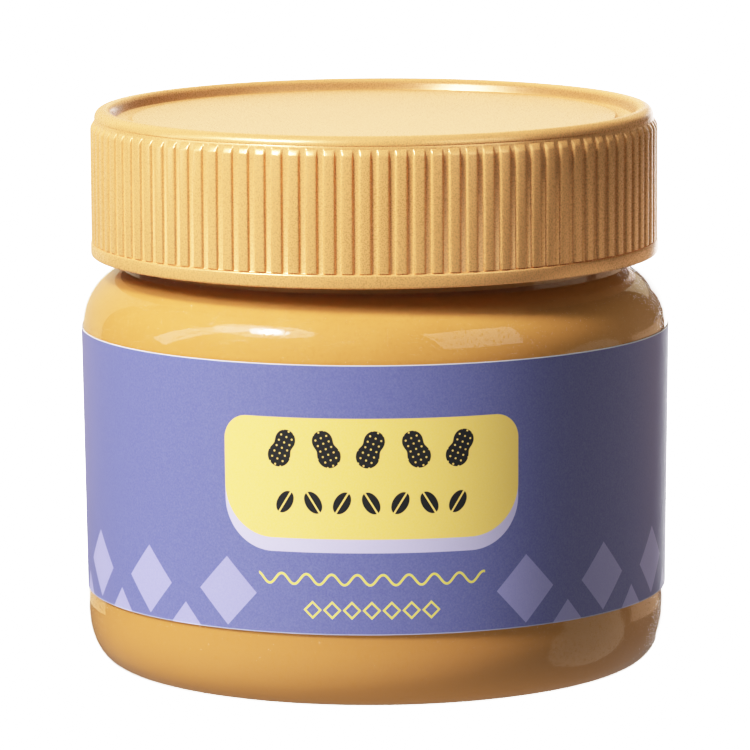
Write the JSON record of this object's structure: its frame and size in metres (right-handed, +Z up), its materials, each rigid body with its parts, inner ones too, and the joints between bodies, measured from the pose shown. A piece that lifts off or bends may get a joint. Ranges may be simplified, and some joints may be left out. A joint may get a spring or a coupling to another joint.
{
  "type": "peanut butter jar",
  "caption": "Clear round plastic jar full of peanut butter, with a wrap label round its body and a ribbed gold screw cap.",
  "frame": {"origin": "centre of the base, on the surface that the jar stands on", "axes": "+Z up along the jar's axis, -Y towards the front of the label"},
  "size_m": [0.073, 0.073, 0.0691],
  "materials": {
    "jar": "clear glossy plastic, slightly warm",
    "peanut_butter": "smooth peanut butter, pressed against the clear wall",
    "label": "satin printed paper, blue-violet with a pale yellow panel",
    "cap": "satin gold plastic with a fine pearly grain"
  },
  "bodies": {
    "root": {"jar": "jar", "peanut_butter": "peanut_butter", "label": "label", "cap": "cap"}
  },
  "joints": []
}
